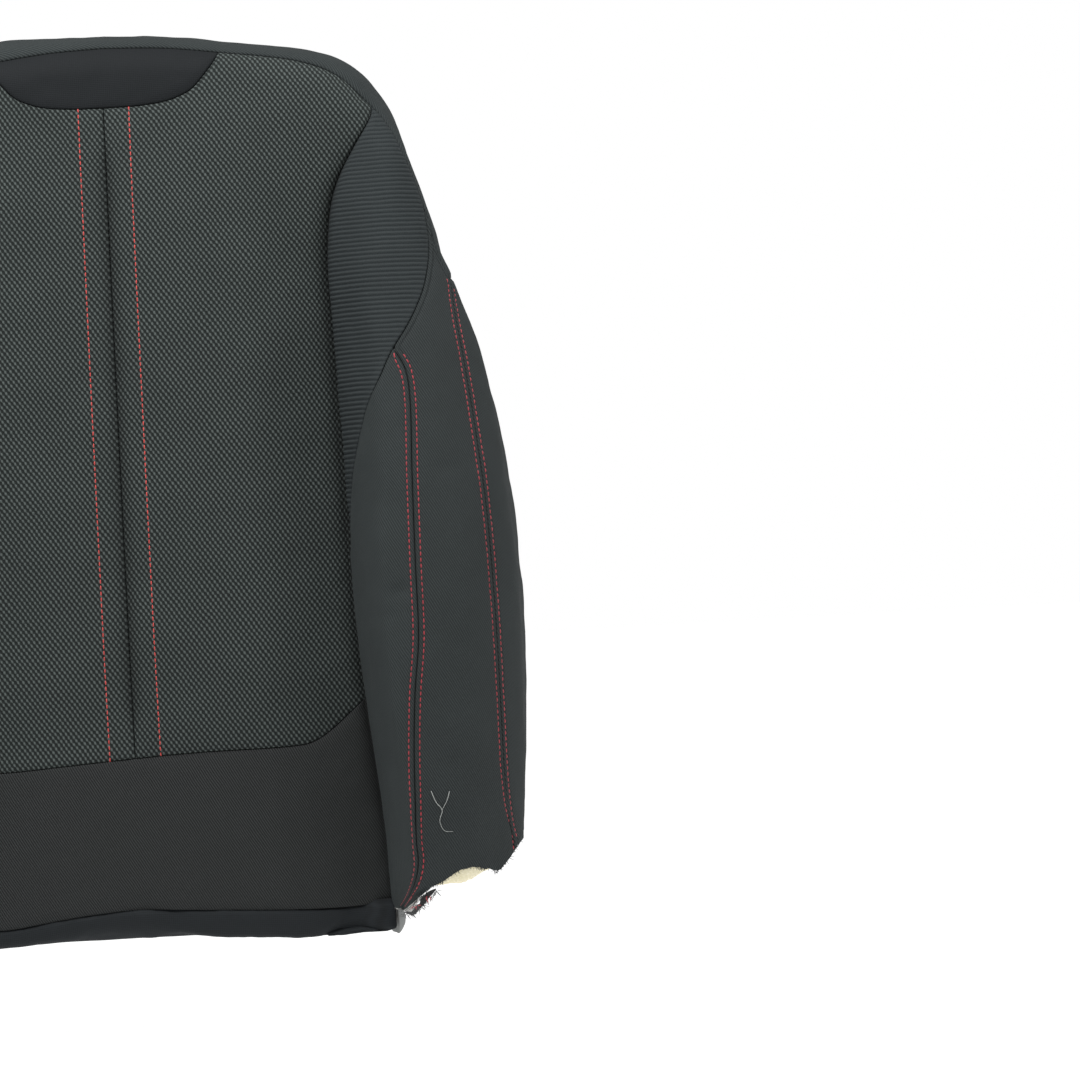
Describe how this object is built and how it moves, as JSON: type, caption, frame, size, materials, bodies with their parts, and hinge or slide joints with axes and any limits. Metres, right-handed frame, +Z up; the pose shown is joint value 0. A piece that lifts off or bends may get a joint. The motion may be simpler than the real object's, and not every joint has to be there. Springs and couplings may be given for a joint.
{
  "type": "seat backrest trim",
  "caption": "Sport seat backrest trim: sewn cloth cover with tall side bolsters on a moulded foam pad, with fold-over rear and bottom flaps.",
  "frame": {"origin": "middle of the flat rear face that bears on the seat frame, 300 mm above the pad's lower edge", "axes": "+Z up along the backrest, +Y out of the back towards the seat frame, -Y towards the sitter, +X to the right of someone who faces the front"},
  "size_m": [0.572, 0.1928, 0.6635],
  "materials": {
    "hopsack_cloth": "coarse two-tone hopsack weave",
    "ribbed_cloth": "horizontal raised ribs",
    "twill_cloth": "fine dark twill",
    "smooth_cloth": "close plain knit",
    "retainer_plastic": "extruded, satin",
    "rod_plastic": "extruded rod, satin",
    "zinc_wire": "zinc plated drawn wire",
    "moulded_foam": "open-cell moulded polyurethane foam with a skin",
    "felt_scrim": "non-woven needle felt"
  },
  "bodies": {
    "pad": {"centre_panel_left": "hopsack_cloth", "shoulder_gusset_left": "ribbed_cloth", "bolster_inner_left": "twill_cloth", "bolster_face_left": "twill_cloth", "bolster_side_left": "twill_cloth", "centre_panel_right": "hopsack_cloth", "shoulder_gusset_right": "ribbed_cloth", "bolster_inner_right": "twill_cloth", "bolster_face_right": "twill_cloth", "bolster_side_right": "twill_cloth", "yoke_panel": "smooth_cloth", "lumbar_panel": "twill_cloth", "top_rim_panel": "twill_cloth", "apron": "smooth_cloth", "sleeve_centre": "smooth_cloth", "rod_centre": "rod_plastic", "foam_wire_centre": "zinc_wire", "hog_ring_centre_1": "zinc_wire", "hog_ring_centre_2": "zinc_wire", "hog_ring_centre_3": "zinc_wire", "hog_ring_centre_4": "zinc_wire", "sleeve_left": "smooth_cloth", "rod_left": "rod_plastic", "foam_wire_left": "zinc_wire", "hog_ring_left_1": "zinc_wire", "hog_ring_left_2": "zinc_wire", "hog_ring_left_3": "zinc_wire", "hog_ring_left_4": "zinc_wire", "sleeve_right": "smooth_cloth", "rod_right": "rod_plastic", "foam_wire_right": "zinc_wire", "hog_ring_right_1": "zinc_wire", "hog_ring_right_2": "zinc_wire", "hog_ring_right_3": "zinc_wire", "hog_ring_right_4": "zinc_wire", "foam_centre": "moulded_foam", "foam_bolster_left": "moulded_foam", "foam_bolster_right": "moulded_foam", "rear_scrim": "felt_scrim"},
    "apron_tail": {"apron_flap": "smooth_cloth", "apron_strip": "retainer_plastic"},
    "left_tail": {"side_flap_left": "smooth_cloth", "side_strip_left": "retainer_plastic"},
    "right_tail": {"side_flap_right": "smooth_cloth", "side_strip_right": "retainer_plastic"},
    "top_tail": {"top_flap": "smooth_cloth", "top_strip": "retainer_plastic"}
  },
  "joints": [
    {"name": "apron_fold", "type": "hinge", "parent": "pad", "child": "apron_tail", "pos_m": [0, -0.0365, -0.29935], "axis": [-1, 0, 0], "range_deg": [0, 85]},
    {"name": "left_flap_fold", "type": "hinge", "parent": "pad", "child": "left_tail", "pos_m": [-0.2715, 0.0495, -0.09], "axis": [0, 0, 1], "range_deg": [0, 110]},
    {"name": "right_flap_fold", "type": "hinge", "parent": "pad", "child": "right_tail", "pos_m": [0.2715, 0.0495, -0.09], "axis": [0, 0, -1], "range_deg": [0, 110]},
    {"name": "top_flap_fold", "type": "hinge", "parent": "pad", "child": "top_tail", "pos_m": [0, 0.0415, 0.334], "axis": [1, 0, 0], "range_deg": [0, 110]}
  ]
}
